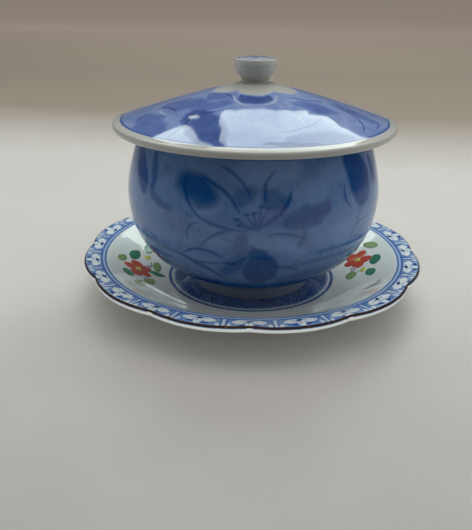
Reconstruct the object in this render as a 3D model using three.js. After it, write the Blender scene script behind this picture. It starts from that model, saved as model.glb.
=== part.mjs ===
// Lidded porcelain tea cup on a lobed saucer: a saucer, a cup standing in its well and a lid resting
// on the cup's mouth. Millimetres, +Z up, origin at the centre of the saucer's resting face.
// Each of the three is a set of clay pieces joined before firing: a thrown shell with its foot ring,
// and for the lid a dome with its locating ring and knob. Pieces meet on flat shared faces.

import * as THREE from 'three';

// Saucer
const saucerRimRadius = 66.5; // to the crest of a rim lobe
const saucerHeight = 18.0; // resting face to the top of the rim
const saucerWellHeight = 6.0; // resting face to the flat that the cup stands on
const saucerWellRadius = 31.0; // flat middle of the dish
const saucerBandWidth = 8.6; // nearly level border between the slope and the rim
const saucerBandRise = 0.9; // how much the border climbs towards the rim
const saucerRimThickness = 2.4;
const saucerWellThickness = 3.2;
const saucerLobes = 12;
const saucerLobeDepth = 0.9; // crest of a lobe to the notch beside it
const saucerFootRadius = 34.0; // outside of the foot ring, where it meets the dish
const saucerFootWidth = 3.4;
const saucerFootTaper = 0.7; // drawn in on both sides towards the resting face

// Cup
const cupHeight = 62.5; // resting face of its foot to its mouth
const cupBellyRadius = 48.0;
const cupBellyHeight = 37.4; // resting face of its foot to the widest place
const cupMouthRadius = 42.3;
const cupWall = 2.8;
const cupFloorThickness = 3.6;
const cupFootHeight = 4.4;
const cupFootRadius = 24.5; // outside of the foot ring, where it meets the bowl
const cupFootWidth = 3.6;
const cupFootTaper = 0.8;
const cupLipRound = 1.0; // rounding on both edges of the mouth

// Lid
const lidOverhang = 9.9; // how far the lid reaches past the cup's mouth
const lidLipDrop = 1.7; // how far the edge hangs below the seat
const lidLipRound = 1.3; // half the thickness of the rounded edge
const lidRise = 14.3; // seat to the flat under the knob
const lidWall = 3.1;
const lidSeatWidth = 4.2; // level face that rests on the cup's mouth
const lidCrown = 0.5; // how far the slope bulges above a straight cone
const locatingRingClearance = 1.0; // between the ring and the inside of the mouth
const locatingRingWidth = 2.4;
const locatingRingDepth = 4.2;
const locatingRingTaper = 0.5;

// Knob, heights from its seat on the dome
const knobHeight = 8.6;
const knobSeatRadius = 5.2;
const knobNeckRadius = 4.75;
const knobNeckHeight = 0.5;
const knobRadius = 7.7;
const knobBandBottom = 5.2; // lower and upper ends of the widest stretch
const knobBandTop = 6.8;
const knobTopRadius = 7.3;
const knobTopRise = 0.6; // crown of the top above its edge

// Steps round each turned piece and along each curve
const turnSteps = saucerLobes * 4;
const curveSteps = 7;
const roundSteps = 3;

// Levels that more than one piece shares
const saucerUnderside = saucerWellHeight - saucerWellThickness;
const cupUnderside = saucerWellHeight + cupFootHeight;
const cupMouthLevel = saucerWellHeight + cupHeight;
const lidSeatLevel = cupMouthLevel;
const knobSeatLevel = lidSeatLevel + lidRise;

const glazedWhite = { color: 0xdfe2e4, roughness: 0.16, metalness: 0 };
const glazedBlue = { color: 0x5d76a8, roughness: 0.14, metalness: 0 };
const washedBlue = { color: 0x8fa3cf, roughness: 0.14, metalness: 0 };
const bareClay = { color: 0xd9d2c8, roughness: 0.6, metalness: 0 };

const point = (r, z) => new THREE.Vector2(r, z);

// A smooth stretch of an outline through two handles, without its first point.
function sweep(from, handleA, handleB, to, steps = curveSteps) {
  return new THREE.CubicBezierCurve(from, handleA, handleB, to).getPoints(steps).slice(1);
}

// A quarter round from one point to another about the corner where their tangents meet.
function roundCorner(from, corner, to) {
  return new THREE.QuadraticBezierCurve(from, corner, to).getPoints(roundSteps).slice(1);
}

// A solid turned about +Z from an outline of (radius, height) points, listed from the underside
// outwards and back over the top.
function turned(outline) {
  const geometry = new THREE.LatheGeometry(outline, turnSteps);
  geometry.rotateX(Math.PI / 2);
  return geometry;
}

// A ring of four corners whose sides draw in towards its free end.
function turnedRing(outerRadius, width, taper, sharedLevel, freeLevel) {
  const innerRadius = outerRadius - width;
  const corners = [
    point(innerRadius, sharedLevel),
    point(innerRadius + taper, freeLevel),
    point(outerRadius - taper, freeLevel),
    point(outerRadius, sharedLevel),
  ];
  if (freeLevel > sharedLevel) corners.reverse();
  return turned([...corners, corners[0].clone()]);
}

// Draws the border in between the lobes, from nothing at its inner edge to the full depth at the rim.
function addLobes(geometry, innerRadius, outerRadius) {
  const position = geometry.attributes.position;
  for (let i = 0; i < position.count; i += 1) {
    const x = position.getX(i);
    const y = position.getY(i);
    const radius = Math.hypot(x, y);
    const share = Math.max(0, (radius - innerRadius) / (outerRadius - innerRadius));
    const swell = Math.abs(Math.sin((saucerLobes * Math.atan2(y, x)) / 2));
    const drawnIn = saucerLobeDepth * share * (1 - swell);
    const scale = radius > 0 ? (radius - drawnIn) / radius : 1;
    position.setXY(i, x * scale, y * scale);
  }
  geometry.computeVertexNormals();
  return geometry;
}

function saucerDish() {
  const bandRadius = saucerRimRadius - saucerBandWidth;
  const bandLevel = saucerHeight - saucerBandRise;
  const half = saucerRimThickness / 2;
  const slope = bandRadius - saucerWellRadius;
  const well = point(saucerWellRadius, saucerWellHeight);
  const band = point(bandRadius, bandLevel);
  const rimTop = point(saucerRimRadius - half, saucerHeight);
  const rimEdge = point(saucerRimRadius, saucerHeight - half);
  const rimUnder = point(saucerRimRadius - half, saucerHeight - saucerRimThickness);
  const underRadius = saucerFootRadius + saucerFootTaper;
  const under = point(underRadius, saucerUnderside);
  const underSlope = rimUnder.x - underRadius;
  const underRise = rimUnder.y - saucerUnderside;
  const outline = [
    point(0, saucerUnderside),
    under,
    ...sweep(
      under,
      point(underRadius + underSlope * 0.4, saucerUnderside + underRise * 0.2),
      point(rimUnder.x - underSlope * 0.2, rimUnder.y - underRise * 0.25),
      rimUnder,
    ),
    ...roundCorner(rimUnder, point(saucerRimRadius, rimUnder.y), rimEdge),
    ...roundCorner(rimEdge, point(saucerRimRadius, saucerHeight), rimTop),
    band,
    ...sweep(
      band,
      point(bandRadius - slope * 0.25, bandLevel - (bandLevel - saucerWellHeight) * 0.34),
      point(saucerWellRadius + slope * 0.42, saucerWellHeight),
      well,
    ),
    point(0, saucerWellHeight),
  ];
  return addLobes(turned(outline), bandRadius, saucerRimRadius);
}

function saucerFootRing() {
  return turnedRing(saucerFootRadius, saucerFootWidth, saucerFootTaper, saucerUnderside, 0);
}

// One face of the cup's wall, from the edge of its floor out to the belly and in to the mouth.
function bowlSide(start, bellyRadius, mouth) {
  const belly = point(bellyRadius, saucerWellHeight + cupBellyHeight);
  const flare = belly.x - start.x;
  const lower = belly.y - start.y;
  const upper = mouth.y - belly.y;
  const closing = belly.x - mouth.x;
  return [
    start,
    ...sweep(
      start,
      point(start.x + flare * 0.59, start.y + lower * 0.22),
      point(belly.x, belly.y - lower * 0.58),
      belly,
      curveSteps + 2,
    ),
    ...sweep(
      belly,
      point(belly.x, belly.y + upper * 0.3),
      point(mouth.x + closing * 0.39, mouth.y - upper * 0.32),
      mouth,
    ),
  ];
}

function cupBowl() {
  const lipLevel = cupMouthLevel - cupLipRound;
  const insideRadius = cupMouthRadius - cupWall;
  const floorLevel = cupUnderside + cupFloorThickness;
  const outside = bowlSide(
    point(cupFootRadius, cupUnderside),
    cupBellyRadius,
    point(cupMouthRadius, lipLevel),
  );
  const inside = bowlSide(
    point(cupFootRadius - cupWall, floorLevel),
    cupBellyRadius - cupWall,
    point(insideRadius, lipLevel),
  ).reverse();
  const lipOut = point(cupMouthRadius - cupLipRound, cupMouthLevel);
  const lipIn = point(insideRadius + cupLipRound, cupMouthLevel);
  return turned([
    point(0, cupUnderside),
    ...outside,
    ...roundCorner(outside.at(-1), point(cupMouthRadius, cupMouthLevel), lipOut),
    lipIn,
    ...roundCorner(lipIn, point(insideRadius, cupMouthLevel), inside[0]),
    ...inside.slice(1),
    point(0, floorLevel),
  ]);
}

function cupFootRing() {
  return turnedRing(cupFootRadius, cupFootWidth, cupFootTaper, cupUnderside, saucerWellHeight);
}

// Both faces of the dome: a cone from the knob's seat to the edge, crowned by lidCrown.
function domeSlope(top, edge) {
  const handleLift = point(0, (lidCrown * 4) / 3);
  const bulge = (share) => top.clone().lerp(edge, share).add(handleLift);
  return sweep(top, bulge(1 / 3), bulge(2 / 3), edge);
}

function lidDome() {
  const edgeRadius = cupMouthRadius + lidOverhang;
  const edgeLevel = lidSeatLevel - lidLipDrop;
  const seatOuter = cupMouthRadius + lidSeatWidth / 4;
  const ringOuter = cupMouthRadius - cupWall - locatingRingClearance;
  const ringInner = ringOuter - locatingRingWidth;
  const knobSeat = point(knobSeatRadius, knobSeatLevel);
  const lipTop = point(edgeRadius - lidLipRound, edgeLevel + 2 * lidLipRound);
  const lipEdge = point(edgeRadius, edgeLevel + lidLipRound);
  const lipUnder = point(edgeRadius - lidLipRound, edgeLevel);
  const hollowTop = point(knobSeatRadius, knobSeatLevel - lidWall);
  const hollowEdge = point(ringInner, lidSeatLevel + lidWall);
  return turned([
    hollowTop.clone().setX(0),
    hollowTop,
    ...domeSlope(hollowTop, hollowEdge),
    point(ringInner, lidSeatLevel),
    point(seatOuter, lidSeatLevel),
    lipUnder,
    ...roundCorner(lipUnder, point(edgeRadius, edgeLevel), lipEdge),
    ...roundCorner(lipEdge, point(edgeRadius, edgeLevel + 2 * lidLipRound), lipTop),
    ...domeSlope(knobSeat, lipTop).slice(0, -1).reverse(),
    knobSeat,
    knobSeat.clone().setX(0),
  ]);
}

function lidLocatingRing() {
  const outerRadius = cupMouthRadius - cupWall - locatingRingClearance;
  const freeLevel = lidSeatLevel - locatingRingDepth;
  return turnedRing(outerRadius, locatingRingWidth, locatingRingTaper, lidSeatLevel, freeLevel);
}

function lidKnob() {
  const topLevel = knobSeatLevel + knobHeight;
  const neck = point(knobNeckRadius, knobSeatLevel + knobNeckHeight);
  const bandBottom = point(knobRadius, knobSeatLevel + knobBandBottom);
  const bandTop = point(knobRadius, knobSeatLevel + knobBandTop);
  const topEdge = point(knobTopRadius, topLevel - knobTopRise);
  const flare = bandBottom.clone().sub(neck);
  return turned([
    point(0, knobSeatLevel),
    point(knobSeatRadius, knobSeatLevel),
    neck,
    ...sweep(
      neck,
      point(neck.x + flare.x * 0.45, neck.y + flare.y * 0.25),
      point(bandBottom.x, bandBottom.y - flare.y * 0.4),
      bandBottom,
    ),
    bandTop,
    ...roundCorner(bandTop, point(knobRadius, topEdge.y), topEdge),
    ...sweep(
      topEdge,
      point(knobTopRadius * 0.7, topLevel),
      point(knobTopRadius * 0.35, topLevel),
      point(0, topLevel),
      roundSteps,
    ),
  ]);
}

function part(name, geometry, finish) {
  const mesh = new THREE.Mesh(geometry, new THREE.MeshStandardMaterial(finish));
  mesh.name = name;
  return mesh;
}

function group(name, ...parts) {
  const body = new THREE.Group();
  body.name = name;
  body.add(...parts);
  return body;
}

const saucer = group(
  'saucer',
  part('saucer_dish', saucerDish(), glazedWhite),
  part('saucer_foot_ring', saucerFootRing(), bareClay),
);
const cup = group(
  'cup',
  part('cup_bowl', cupBowl(), glazedBlue),
  part('cup_foot_ring', cupFootRing(), bareClay),
);
const lid = group(
  'lid',
  part('lid_dome', lidDome(), washedBlue),
  part('lid_locating_ring', lidLocatingRing(), glazedWhite),
  part('lid_knob', lidKnob(), glazedWhite),
);

export default group('tea_cup_with_lid_and_saucer', saucer, cup, lid);
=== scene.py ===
import math

import bpy
import numpy as np
from mathutils import Euler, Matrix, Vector


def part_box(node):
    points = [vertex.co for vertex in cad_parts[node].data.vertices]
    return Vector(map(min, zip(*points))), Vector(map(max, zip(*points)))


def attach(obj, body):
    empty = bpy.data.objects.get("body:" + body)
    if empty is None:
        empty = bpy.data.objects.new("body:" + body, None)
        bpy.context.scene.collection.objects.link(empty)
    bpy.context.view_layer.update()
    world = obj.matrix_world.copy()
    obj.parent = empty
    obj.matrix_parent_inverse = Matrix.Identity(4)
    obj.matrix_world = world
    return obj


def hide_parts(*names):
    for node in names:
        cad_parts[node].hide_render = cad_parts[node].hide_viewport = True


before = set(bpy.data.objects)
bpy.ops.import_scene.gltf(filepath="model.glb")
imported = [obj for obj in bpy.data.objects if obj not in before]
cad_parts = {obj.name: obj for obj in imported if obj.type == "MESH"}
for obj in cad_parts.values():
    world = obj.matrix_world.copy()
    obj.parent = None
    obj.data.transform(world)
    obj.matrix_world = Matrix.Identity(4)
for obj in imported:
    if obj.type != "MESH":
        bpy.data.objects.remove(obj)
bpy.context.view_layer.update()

MM = 0.001  # outlines below are in millimetres; Blender works in metres

# ---- sizes read from the frame


def cad_points(node):
    """Radius and height of every vertex of a CAD node, in millimetres."""
    points = np.array([v.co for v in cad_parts[node].data.vertices]) / MM
    return np.hypot(points[:, 0], points[:, 1]), points[:, 2]


def reach(node):
    """Largest radius of a CAD node, in millimetres."""
    return float(cad_points(node)[0].max())


def level(node, end):
    """Lowest (end 0) or highest (end 1) level of a CAD node, in millimetres."""
    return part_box(node)[end].z / MM


SAME_LEVEL = 0.02  # vertices this close in height count as one level


def radii_at(node, height):
    """Smallest and largest radius that a CAD node has at a level."""
    radius, z = cad_points(node)
    there = radius[np.abs(z - height) < SAME_LEVEL]
    return float(there.min()), float(there.max())


WELL = level("cup_foot_ring", 0)
DISH_UNDER, RIM_TOP = level("saucer_dish", 0), level("saucer_dish", 1)
RIM_CREST = reach("saucer_dish")
SAUCER_FOOT_IN, SAUCER_FOOT_OUT = radii_at("saucer_foot_ring", DISH_UNDER)
CUP_UNDER, CUP_MOUTH = level("cup_bowl", 0), level("cup_bowl", 1)
CUP_BELLY = reach("cup_bowl")
CUP_FOOT_IN, CUP_FOOT_OUT = radii_at("cup_foot_ring", CUP_UNDER)
LIP_IN, LIP_OUT = radii_at("cup_bowl", CUP_MOUTH)
LID_EDGE_LEVEL, KNOB_SEAT = level("lid_dome", 0), level("lid_dome", 1)
LID_REACH = reach("lid_dome")
RING_IN, RING_OUT = radii_at("lid_locating_ring", CUP_MOUTH)
RING_FREE = level("lid_locating_ring", 0)
KNOB_TOP = level("lid_knob", 1)
KNOB_REACH = reach("lid_knob")

LOBES = 12
LOBE_DEPTH = 1.5
LOBE_POWER = 0.85  # below 1 sharpens the notches between the lobes
BAND_INNER = RIM_CREST - 8.6  # inner edge of the saucer's painted border
WELL_RADIUS = 31.0
BELLY_LEVEL = WELL + 37.4
CUP_FLOOR = 3.6
LID_WALL = 3.1
SEAT_MARGIN = 1.05  # how far the lid's seat reaches past the cup's lip
LIP_ROUND = 1.0
TURN_STEPS = 360


# ---- outlines and turned meshes


def sweep(a, b, c, d, steps):
    """Points of a smooth stretch from a to d, steered by b and c, without its first point."""
    t = np.linspace(0, 1, steps + 1)[1:, None]
    a, b, c, d = (np.array(p, float) for p in (a, b, c, d))
    curve = (1 - t) ** 3 * a + 3 * (1 - t) ** 2 * t * b + 3 * (1 - t) * t**2 * c + t**3 * d
    return [tuple(p) for p in curve]


def line(a, b, steps):
    """Points of a straight stretch from a to b, without its first point."""
    return [tuple(np.array(a) + (np.array(b) - np.array(a)) * i / steps) for i in range(1, steps + 1)]


def corner(a, tip, b, steps=5):
    """Points of a rounded corner from a to b whose tangents meet at tip, without its first point."""
    t = np.linspace(0, 1, steps + 1)[1:, None]
    a, tip, b = (np.array(p, float) for p in (a, tip, b))
    return [tuple(p) for p in (1 - t) ** 2 * a + 2 * (1 - t) * t * tip + t**2 * b]


def ring_outline(inner_side, middle, under_steps, top_steps):
    """A ring's closed outline: its inner side, listed downwards, and that side mirrored about middle."""
    outer_side = [(2 * middle - r, z) for r, z in inner_side[::-1]]
    under = line(inner_side[-1], outer_side[0], under_steps)
    top = line(outer_side[-1], inner_side[0], top_steps)
    return [*inner_side, *under, *outer_side[1:], *top]


def turned(name, outline, body, node=None, steps=TURN_STEPS, shape=None):
    """A mesh turned about the Z axis. shape(radius, angle) may change the radius."""
    points = np.array(outline, float)
    closed = np.allclose(points[0], points[-1])
    if closed:
        points = points[:-1]
    angles = np.linspace(0, 2 * math.pi, steps, endpoint=False)
    verts, rows = [], []
    for r, z in points:
        if r < 1e-6:
            rows.append([len(verts)] * steps)
            verts.append((0, 0, z * MM))
            continue
        rows.append(list(range(len(verts), len(verts) + steps)))
        radius = shape(np.full(steps, r), angles) if shape else np.full(steps, r)
        verts += [(q * math.cos(t) * MM, q * math.sin(t) * MM, z * MM) for q, t in zip(radius, angles)]
    faces = []
    pairs = list(zip(rows, rows[1:])) + ([(rows[-1], rows[0])] if closed else [])
    for low, high in pairs:
        for i in range(steps):
            j = (i + 1) % steps
            ring = [low[i], low[j], high[j], high[i]]
            face = [v for k, v in enumerate(ring) if v != ring[k - 1]]
            if len(face) > 2:
                faces.append(face)
    return piece(name, verts, faces, body, node)


def new_object(name, data):
    obj = bpy.data.objects.new(name, data)
    bpy.context.scene.collection.objects.link(obj)
    return obj


def new_mesh(name, verts, faces):
    mesh = bpy.data.meshes.new(name)
    mesh.from_pydata(verts, [], faces)
    return new_object(name, mesh)


def piece(name, verts, faces, body, node=None):
    """A smooth piece that rides on a body; it may stand for a CAD node."""
    obj = new_mesh(name, verts, faces)
    obj.data.validate()
    obj.data.polygons.foreach_set("use_smooth", [True] * len(obj.data.polygons))
    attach(obj, body)
    if node:
        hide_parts(node)
    return obj


# ---- saucer

RIM_THICK = 2.4
RIM_HALF = RIM_THICK / 2
BAND_LEVEL = RIM_TOP - 0.9
SLOPE_RUN = BAND_INNER - WELL_RADIUS
SLOPE_RISE = BAND_LEVEL - WELL


def saucer_top():
    """The dish's upper face, from the rim's top inwards."""
    band = (BAND_INNER, BAND_LEVEL)
    well = (WELL_RADIUS, WELL)
    return [
        *line((RIM_CREST - RIM_HALF, RIM_TOP), band, 8),
        *sweep(
            band,
            (BAND_INNER - SLOPE_RUN * 0.25, BAND_LEVEL - SLOPE_RISE * 0.34),
            (WELL_RADIUS + SLOPE_RUN * 0.42, WELL),
            well,
            30,
        ),
        *line(well, (0, WELL), 8),
    ]


def lobed(radius, angle):
    """Draws the border in between the lobes."""
    share = np.clip((radius - BAND_INNER) / (RIM_CREST - BAND_INNER), 0, 1)
    return radius - LOBE_DEPTH * share * (1 - np.abs(np.sin(LOBES * angle / 2)) ** LOBE_POWER)


def make_saucer():
    """The lobed dish and the ring it stands on."""
    under_start = (SAUCER_FOOT_OUT + 0.7, DISH_UNDER)
    rim_under = (RIM_CREST - RIM_HALF, RIM_TOP - RIM_THICK)
    rim_edge = (RIM_CREST, RIM_TOP - RIM_HALF)
    rim_top = (RIM_CREST - RIM_HALF, RIM_TOP)
    run, rise = rim_under[0] - under_start[0], rim_under[1] - DISH_UNDER
    outline = [
        (0, DISH_UNDER),
        *line((0, DISH_UNDER), under_start, 6),
        *sweep(
            under_start,
            (under_start[0] + run * 0.4, DISH_UNDER + rise * 0.2),
            (rim_under[0] - run * 0.2, rim_under[1] - rise * 0.25),
            rim_under,
            24,
        ),
        *corner(rim_under, (RIM_CREST, rim_under[1]), rim_edge),
        *corner(rim_edge, (RIM_CREST, RIM_TOP), rim_top),
        *saucer_top(),
    ]
    dish = turned("saucer_shell", outline, "saucer", "saucer_dish", 384, lobed)
    foot = foot_ring(
        "saucer_foot", SAUCER_FOOT_IN, SAUCER_FOOT_OUT, 0.7, DISH_UNDER, 0, "saucer", "saucer_foot_ring"
    )
    return dish, foot


def foot_ring(name, inner, outer, taper, shared, free, body, node):
    """A foot ring with rounded resting edges and a fillet where it leaves the shell above."""
    round_off, fillet = 0.55, 0.6
    flank = (inner + 0.1, shared - fillet)
    resting = inner + taper
    inner_side = [
        (inner - fillet * 0.4, shared),
        *corner((inner - fillet * 0.4, shared), (inner, shared), flank),
        *line(flank, (resting, free + round_off), 5),
        *corner((resting, free + round_off), (resting, free), (resting + round_off, free)),
    ]
    outline = ring_outline(inner_side, (inner + outer) / 2, 4, 6)
    return turned(name, outline, body, node, 240)


# ---- cup


def bowl_side(start, belly, mouth):
    """One side of the cup's wall, from its foot over the belly to the mouth."""
    flare, lower = belly[0] - start[0], belly[1] - start[1]
    closing, upper = belly[0] - mouth[0], mouth[1] - belly[1]
    return [
        start,
        *sweep(
            start,
            (start[0] + flare * 0.59, start[1] + lower * 0.22),
            (belly[0], belly[1] - lower * 0.58),
            belly,
            34,
        ),
        *sweep(
            belly,
            (belly[0], belly[1] + upper * 0.3),
            (mouth[0] + closing * 0.39, mouth[1] - upper * 0.32),
            mouth,
            24,
        ),
    ]


def make_cup():
    """The bowl, with rounded lips, and the ring it stands on."""
    mouth_out = LIP_OUT + LIP_ROUND
    mouth_in = LIP_IN - LIP_ROUND
    wall = mouth_out - mouth_in
    lip_level = CUP_MOUTH - LIP_ROUND
    floor = CUP_UNDER + CUP_FLOOR
    outside = bowl_side((CUP_FOOT_OUT, CUP_UNDER), (CUP_BELLY, BELLY_LEVEL), (mouth_out, lip_level))
    inside = bowl_side(
        (CUP_FOOT_OUT - wall, floor), (CUP_BELLY - wall, BELLY_LEVEL), (mouth_in, lip_level)
    )[::-1]
    outline = [
        (0, CUP_UNDER),
        *line((0, CUP_UNDER), (CUP_FOOT_OUT, CUP_UNDER), 6),
        *outside[1:],
        *corner((mouth_out, lip_level), (mouth_out, CUP_MOUTH), (LIP_OUT, CUP_MOUTH)),
        (LIP_IN, CUP_MOUTH),
        *corner((LIP_IN, CUP_MOUTH), (mouth_in, CUP_MOUTH), (mouth_in, lip_level)),
        *inside[1:],
        *line((CUP_FOOT_OUT - wall, floor), (0, floor), 6),
    ]
    bowl = turned("cup_shell", outline, "cup", "cup_bowl")
    foot = foot_ring(
        "cup_foot", CUP_FOOT_IN, CUP_FOOT_OUT, 0.8, CUP_UNDER, WELL, "cup", "cup_foot_ring"
    )
    return bowl, foot


# ---- lid

LIP_HALF = 1.3
KNOB_SEAT_RADIUS = 5.2


def dome_slope(top, edge, crown=0.5, steps=30):
    """A slope that stands crown proud of a straight line."""
    top, edge = np.array(top, float), np.array(edge, float)
    lift = np.array((0, crown * 4 / 3))
    return sweep(top, top + (edge - top) / 3 + lift, top + (edge - top) * 2 / 3 + lift, edge, steps)


def make_lid():
    """The dome, the ring inside the cup's mouth and the knob."""
    lip_top = (LID_REACH - LIP_HALF, LID_EDGE_LEVEL + 2 * LIP_HALF)
    lip_edge = (LID_REACH, LID_EDGE_LEVEL + LIP_HALF)
    lip_under = (LID_REACH - LIP_HALF, LID_EDGE_LEVEL)
    hollow_top = (KNOB_SEAT_RADIUS, KNOB_SEAT - LID_WALL)
    hollow_edge = (RING_IN, CUP_MOUTH + LID_WALL)
    seat_out = (LIP_OUT + LIP_ROUND + SEAT_MARGIN, CUP_MOUTH)
    top_side = dome_slope((KNOB_SEAT_RADIUS, KNOB_SEAT), lip_top)[:-1][::-1]
    outline = [
        (0, hollow_top[1]),
        *line((0, hollow_top[1]), hollow_top, 3),
        *dome_slope(hollow_top, hollow_edge),
        *line(hollow_edge, (RING_IN, CUP_MOUTH), 4),
        *line((RING_IN, CUP_MOUTH), seat_out, 6),
        *line(seat_out, lip_under, 6),
        *corner(lip_under, (LID_REACH, LID_EDGE_LEVEL), lip_edge),
        *corner(lip_edge, (LID_REACH, lip_top[1]), lip_top),
        *top_side,
        (KNOB_SEAT_RADIUS, KNOB_SEAT),
        (0, KNOB_SEAT),
    ]
    dome = turned("lid_shell", outline, "lid", "lid_dome")
    bevel = (RING_IN + 0.45, RING_FREE + 0.5)
    ring_side = [
        (RING_IN, CUP_MOUTH),
        *line((RING_IN, CUP_MOUTH), bevel, 4),
        *corner(bevel, (RING_IN + 0.5, RING_FREE), (RING_IN + 1.0, RING_FREE)),
    ]
    outline = ring_outline(ring_side, (RING_IN + RING_OUT) / 2, 2, 3)
    ring = turned("lid_inner_ring", outline, "lid", "lid_locating_ring", 240)
    return dome, ring, make_knob()


def make_knob():
    seat_edge = (KNOB_SEAT_RADIUS + 0.5, KNOB_SEAT)
    neck = (4.75, KNOB_SEAT + 0.6)
    band_low, band_high = (KNOB_REACH, KNOB_SEAT + 5.2), (KNOB_REACH, KNOB_SEAT + 6.8)
    edge = (7.3, KNOB_TOP - 0.6)
    flare = (band_low[0] - neck[0], band_low[1] - neck[1])
    outline = [
        (0, KNOB_SEAT),
        *line((0, KNOB_SEAT), seat_edge, 3),
        *corner(seat_edge, (neck[0] - 0.05, KNOB_SEAT + 0.02), neck, 6),
        *sweep(
            neck,
            (neck[0] + flare[0] * 0.45, neck[1] + flare[1] * 0.25),
            (band_low[0], band_low[1] - flare[1] * 0.4),
            band_low,
            18,
        ),
        *line(band_low, band_high, 4),
        *corner(band_high, (KNOB_REACH, edge[1] - 0.1), edge, 8),
        *sweep(edge, (edge[0] * 0.7, KNOB_TOP), (edge[0] * 0.35, KNOB_TOP), (0, KNOB_TOP), 14),
    ]
    return turned("knob", outline, "lid", "lid_knob", 160)


saucer_shell, saucer_foot = make_saucer()
cup_shell, cup_foot = make_cup()
lid_shell, lid_ring, knob = make_lid()


# ---- raised enamel on the saucer

ENAMEL_HEIGHT = 0.16
ENAMEL_SINK = 0.1
ENAMEL_RINGS = 7
ENAMEL_STEPS = 36
TOP_OUTLINE = np.array(saucer_top()[::-1])


def on_saucer(angle, radius, lift):
    """A point lifted off the saucer's upper face, in metres."""
    z = np.interp(radius, TOP_OUTLINE[:, 0], TOP_OUTLINE[:, 1]) + lift
    return (radius * math.cos(angle) * MM, radius * math.sin(angle) * MM, z * MM)


class Enamel:
    """Drops of one colour of enamel, each a leaf or petal with a domed top, joined in one piece."""

    def __init__(self, name):
        self.name = name
        self.verts, self.faces, self.marks = [], [], []

    def drop(self, angle, radius, length, width, heading, point, rise=1):
        """A drop at an angle in degrees; heading turns its long axis from around the rim to outward."""
        height = ENAMEL_HEIGHT * rise
        turn = math.radians(heading)
        middle = math.radians(angle)

        def place(share, t, lift):
            a = length / 2 * math.cos(t) * share
            b = width / 2 * math.copysign(abs(math.sin(t)) ** (1 + point), math.sin(t)) * share
            outward = radius + a * math.sin(turn) + b * math.cos(turn)
            around = a * math.cos(turn) - b * math.sin(turn)
            self.verts.append(on_saucer(middle + around / outward, outward, lift))
            self.marks.append((math.cos(t) * share, math.sin(t) * share, share))
            return len(self.verts) - 1

        turns = [2 * math.pi * i / ENAMEL_STEPS for i in range(ENAMEL_STEPS)]
        centre = place(0, 0, height)
        rings = []
        for k in range(1, ENAMEL_RINGS + 1):
            share = k / ENAMEL_RINGS
            lift = height * (1 - share**4) - ENAMEL_SINK * (k == ENAMEL_RINGS)
            rings.append([place(share, t, lift) for t in turns])
        base = place(0, 0, -ENAMEL_SINK)
        for i in range(ENAMEL_STEPS):
            j = (i + 1) % ENAMEL_STEPS
            self.faces.append((centre, rings[0][i], rings[0][j]))
            self.faces += [(low[i], high[i], high[j], low[j]) for low, high in zip(rings, rings[1:])]
            self.faces.append((base, rings[-1][j], rings[-1][i]))

    def make(self, material):
        obj = piece(self.name, self.verts, self.faces, "saucer")
        marks = obj.data.attributes.new("brush_mark", "FLOAT_VECTOR", "POINT")
        marks.data.foreach_set("vector", np.array(self.marks).ravel())
        obj.data.materials.append(material)


red, leaf_green, pale_green = Enamel("enamel_red"), Enamel("enamel_green"), Enamel("enamel_pale_green")
yellow, lilac, brown = Enamel("enamel_yellow"), Enamel("enamel_lilac"), Enamel("enamel_brown")


def blossom(angle, radius, tilt):
    """A red flower of five petals, wider round the saucer than across it, with a yellow eye."""
    for k in range(5):
        way = math.radians(tilt + 72 * k)
        around, outward = 4.0 * math.cos(way), 2.8 * math.sin(way)
        at = angle + math.degrees(around / radius)
        slope = math.degrees(math.atan2(outward, around))
        red.drop(at, radius + outward, 6.2, 5.2, slope, 0.1, 1.2)
        brown.drop(at, radius + outward * 0.95, 2.6, 0.28, slope, 0.3, 1.6)
    yellow.drop(angle, radius, 3.3, 2.5, 0, 0, 2.4)
    for k in range(5):
        way = math.radians(tilt + 36 + 72 * k)
        at = angle + math.degrees(1.9 * math.cos(way) / radius)
        yellow.drop(at, radius + 1.4 * math.sin(way), 0.7, 0.55, 0, 0, 2.2)


# The angle, radius and tilt of a spray's flower. Then its leaves, buds and stalks: enamel, angle, radius,
# length, width, heading, how pointed it is, and its rise where that isn't 1.
FULL_FLOWER, SPARSE_FLOWER = (-162.3, 45.8, 18), (0.5, 45.5, 50)
FULL_SPRAY = (
    (leaf_green, -175.4, 48.8, 10.4, 4.4, 4, 0.35),
    (leaf_green, -187.9, 46.2, 8.6, 4.3, -6, 0.35),
    (leaf_green, -153.6, 50.0, 7.4, 5.0, 0, 0.35),
    (leaf_green, -163.0, 38.6, 8.6, 4.0, 112, 0.9),
    (pale_green, -166.5, 52.4, 7.6, 3.4, 12, 0.3),
    (pale_green, -172.5, 39.2, 9.6, 3.9, -10, 0.3),
    (pale_green, -150.5, 42.4, 7.6, 4.8, 30, 0.3),
    (pale_green, -144.0, 47.6, 6.4, 4.2, 0, 0.3),
    (yellow, -179.0, 44.2, 4.8, 2.6, 8, 0.1),
    (lilac, -169.2, 42.4, 4.6, 2.2, 24, 0.2),
    (lilac, -154.4, 43.6, 5.4, 2.4, -24, 0.2),
    (brown, -149.6, 40.9, 6.0, 0.45, 20, 0.2, 0.7),
    (brown, -173.4, 41.6, 5.5, 0.45, -18, 0.2, 0.7),
    (brown, -148.0, 46.2, 6.0, 0.45, 62, 0.2, 0.7),
)
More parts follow.
